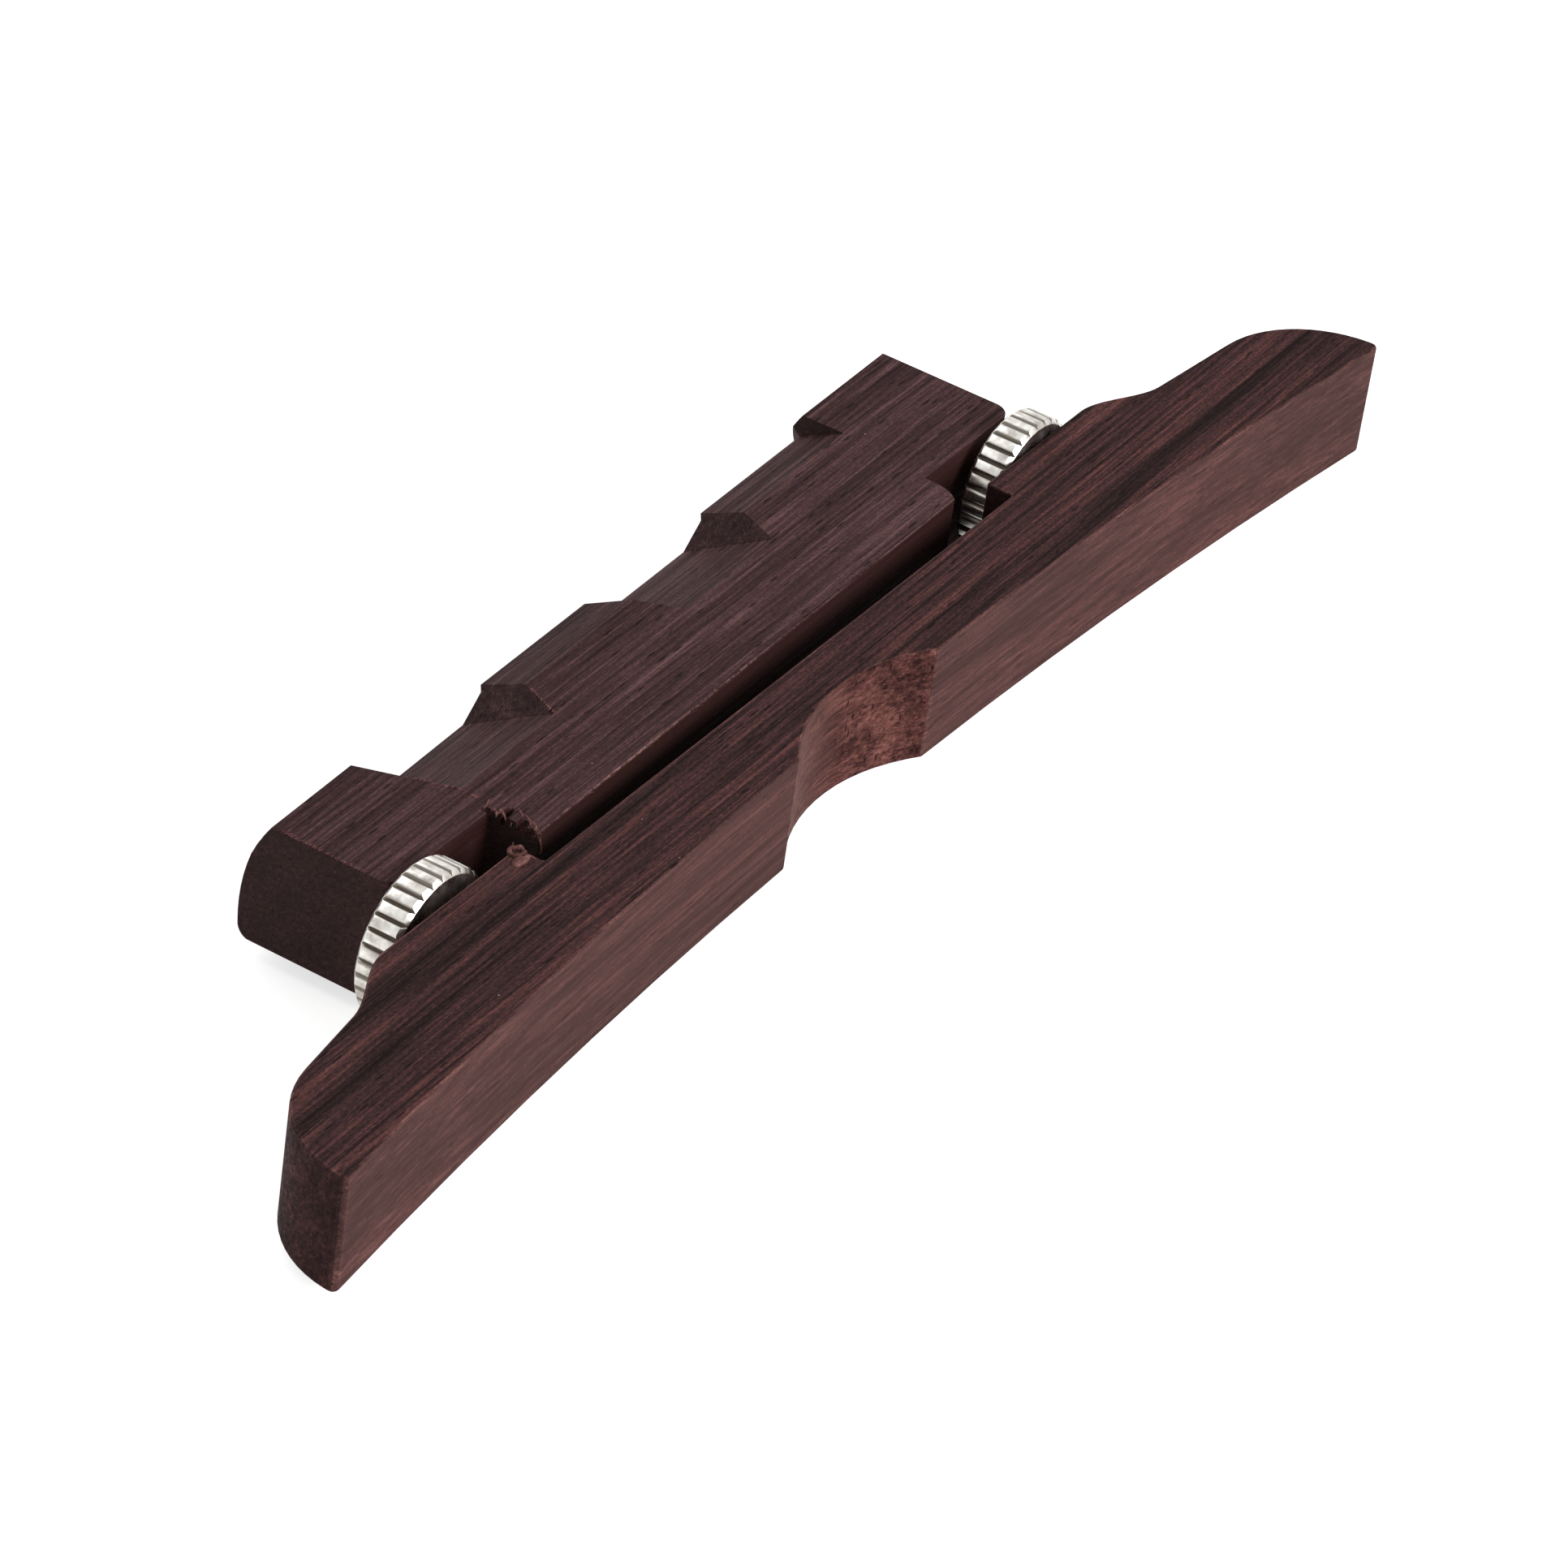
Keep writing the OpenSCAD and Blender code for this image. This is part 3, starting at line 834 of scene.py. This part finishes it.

# %% [markdown]
# The flutes of the wheels and the threads of the posts are painted darker, for the oil and dirt that stay
# there and for the shade that falls in them. How deep a point lies below the rim is kept in the mesh as an
# attribute, so the darkening follows the shape, and one material serves both wheels. A pattern on
# coordinates alone would need the middle of each wheel.

# %% Depth below the rim
FLUTE_DEPTH = 0.3 * MM


def store_depth(piece, top_radius, depth):
    """Keeps for each vertex how far it lies below the outer radius, as a share of the groove depth."""
    low, high = [Vector(corner) for corner in (piece.bound_box[0], piece.bound_box[6])]
    middle = (low + high) / 2
    values = piece.data.attributes.new("groove", "FLOAT", "POINT")
    for vertex, value in zip(piece.data.vertices, values.data):
        radius = math.hypot(vertex.co.x - middle.x, vertex.co.z - middle.z)
        value.value = (top_radius - radius) / depth


for side in SIDES:
    store_depth(wheels[side], WHEEL_RADIUS, FLUTE_DEPTH)
    store_depth(posts[side], POST_RADIUS, THREAD_DEPTH)
print("Groove depth kept for", len(wheels) + len(posts), "pieces")

# %% [markdown]
# The wheels are plated with bright nickel, which is a little yellower and softer than chrome. Handling
# leaves it slightly uneven, so its tone and gloss vary over a millimetre or so. The posts are plain steel,
# darker and duller, with finer marks from the die that cut the thread. One function makes both metals,
# because only their colours, gloss and the size of their marks differ.

# %% Nickel and steel
SMUDGE_SIZE = 1.1
DIE_MARK_SIZE = 0.15
MARK_HEIGHT = 0.02 * MM
MARK_STRENGTH = 0.15
MARK_STOPS = (0.35, 0.65)
SIDE_TURN = 0.6
RIM_TURN = 0.4
GROOVE_DARK_START = 0.02
GROOVE_DARK_FULL = 0.35


def groove_shade_and_dirt(tree, place):
    """How dark a point is painted, for dirt and for the shade that falls in a groove. Only faces that look
    outwards have grooves, so the flat sides and chamfers are left as they are."""
    depth = add_node(tree, "ShaderNodeAttribute", {"attribute_name": "groove"})
    facing = add_node(tree, "ShaderNodeSeparateXYZ", None, {0: place.outputs["Normal"]})
    along = add_node(tree, "ShaderNodeMath", {"operation": "ABSOLUTE"}, {0: facing.outputs["Y"]})
    outward = add_node(tree, "ShaderNodeMapRange", None, {
        "Value": along.outputs["Value"], "From Min": SIDE_TURN, "From Max": RIM_TURN})
    deep = add_node(tree, "ShaderNodeMapRange", {"interpolation_type": "SMOOTHSTEP"}, {
        "Value": depth.outputs["Fac"], "From Min": GROOVE_DARK_START, "From Max": GROOVE_DARK_FULL})
    shade_and_dirt = add_node(tree, "ShaderNodeMath", {"operation": "MULTIPLY"}, {
        0: outward.outputs["Result"], 1: deep.outputs["Result"]})
    return shade_and_dirt.outputs["Value"]


def worked_metal(name, colours, groove_shade_colour, roughness, mark_size):
    """A metal whose tone and gloss vary over marks of the given size in mm, with painted shade and dirt in
    its grooves.
    """
    material, tree, output = new_material(name)
    place = add_node(tree, "ShaderNodeTexCoord")
    marks = add_node(tree, "ShaderNodeTexNoise", None, {
        "Vector": place.outputs["Object"], "Scale": 1 / (mark_size * MM), "Detail": 4, "Roughness": 0.6})
    tone = add_node(tree, "ShaderNodeValToRGB", None, {"Fac": marks.outputs["Fac"]},
                    list(zip(MARK_STOPS, colours)))
    colour = add_node(tree, "ShaderNodeMix", {"data_type": "RGBA"}, {
        0: groove_shade_and_dirt(tree, place), 6: tone.outputs["Color"], 7: linear(groove_shade_colour)})
    rough = add_node(tree, "ShaderNodeMapRange", None, {
        "Value": marks.outputs["Fac"], "From Min": NOISE_LOW, "From Max": NOISE_HIGH,
        "To Min": roughness[0], "To Max": roughness[1]})
    bump = add_node(tree, "ShaderNodeBump", None, {
        "Strength": MARK_STRENGTH, "Distance": MARK_HEIGHT, "Height": marks.outputs["Fac"]})
    shader = add_node(tree, "ShaderNodeBsdfPrincipled", None, {
        "Base Color": colour.outputs[2], "Metallic": 1, "Roughness": rough.outputs["Result"],
        "Normal": bump.outputs["Normal"]})
    tree.links.new(shader.outputs["BSDF"], output.inputs["Surface"])
    return material


# The groove colours are painted shade and dirt in the flutes and in the thread roots.
nickel = worked_metal("bright_nickel_plate", ("#b4afa7", "#f2efea"), "#787168", (0.24, 0.36), SMUDGE_SIZE)
steel = worked_metal("cut_steel_thread", ("#76736e", "#989590"), "#3b3834", (0.3, 0.45), DIE_MARK_SIZE)
for side in SIDES:
    wheels[side].data.materials[0] = nickel
    wheels[side].data.materials[1] = nickel
    posts[side].data.materials.append(steel)
print("Metals:", nickel.name, "and", steel.name)

# %% [markdown]
# The bridge lies on a white table. The table takes the shadow of the bridge as any white board would, and
# adds a little light of its own towards the camera so that it reads as white. That light is seen directly,
# or in the metal, and lights nothing.

# %% White table
FLOOR_SIZE = 2
FLOOR_GLOW = 0.7


def seen_directly(tree):
    """1 for rays that show a surface in the picture or in a mirror, 0 for those that gather its light."""
    ray = add_node(tree, "ShaderNodeLightPath")
    seen = add_node(tree, "ShaderNodeMath", {"operation": "MAXIMUM"}, {
        0: ray.outputs["Is Camera Ray"], 1: ray.outputs["Is Glossy Ray"]})
    shown = add_node(tree, "ShaderNodeMath", {"operation": "MAXIMUM"}, {
        0: seen.outputs["Value"], 1: ray.outputs["Is Transmission Ray"]})
    return shown.outputs["Value"]


bpy.ops.object.select_all(action="DESELECT")
bpy.ops.mesh.primitive_plane_add(size=FLOOR_SIZE)
floor = bpy.context.active_object
floor.name = "white_table"
table, table_tree, table_output = new_material("white_board")
glow_level = add_node(table_tree, "ShaderNodeMath", {"operation": "MULTIPLY"}, {
    0: seen_directly(table_tree), 1: FLOOR_GLOW})
glow = add_node(table_tree, "ShaderNodeEmission", None, {"Strength": glow_level.outputs["Value"]})
board = add_node(table_tree, "ShaderNodeBsdfDiffuse", None, {"Color": linear("#ececec")})
both = add_node(table_tree, "ShaderNodeAddShader", None, {
    0: glow.outputs["Emission"], 1: board.outputs["BSDF"]})
table_tree.links.new(both.outputs["Shader"], table_output.inputs["Surface"])
floor.data.materials.append(table)
print("Table:", FLOOR_SIZE, "m wide")

# %% [markdown]
# The room is white where it is seen and dim where it lights the bridge, so that the two studio lights set
# the shading. One stands over the feet and a wider, weaker one over the crown. Large lamps give the soft
# shadows of a product picture.

# %% Room and lights
ROOM_LIGHT = 0.18
world = bpy.data.worlds.new("white_room")
world.use_nodes = True
world.node_tree.nodes.clear()
scene.world = world
room_output = add_node(world.node_tree, "ShaderNodeOutputWorld")
room_level = add_node(world.node_tree, "ShaderNodeMapRange", None, {
    "Value": seen_directly(world.node_tree), "To Min": ROOM_LIGHT, "To Max": 1})
room = add_node(world.node_tree, "ShaderNodeBackground", None, {
    "Color": linear("#ffffff"), "Strength": room_level.outputs["Result"]})
world.node_tree.links.new(room.outputs["Background"], room_output.inputs["Surface"])


def soft_box(name, place, size, power):
    """A square studio light at a place in metres, turned towards the bridge."""
    bpy.ops.object.light_add(type="AREA", location=place)
    lamp = bpy.context.active_object
    lamp.name = name
    lamp.data.size = size
    lamp.data.energy = power
    lamp.rotation_euler = (-Vector(place)).to_track_quat("-Z", "Y").to_euler()


soft_box("light_over_feet", place=(0.15, -0.85, 0.5), size=0.5, power=11)
soft_box("light_over_crown", place=(0.15, 0.8, 0.5), size=0.8, power=6)
scene.view_settings.view_transform = "Standard"

# %% [markdown]
# Each piece is now hung on the moving part that carries it, and the measured solids that the base, the
# saddle, the wheels and the posts replace are hidden.

# %% What carries each piece
for piece, body, slot in ((base, "base", "rosewood_base"), (saddle, "saddle", "rosewood")):
    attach(piece, body)
    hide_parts(body)
for piece, body, slot in ((torn_curl, "base", "rosewood_base"), (torn_fibres, "saddle", "rosewood")):
    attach(piece, body)
for side in SIDES:
    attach(wheels[side], "thumbwheel_" + side)
    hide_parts("thumbwheel_" + side)
    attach(posts[side], "base")
    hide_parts("post_" + side)
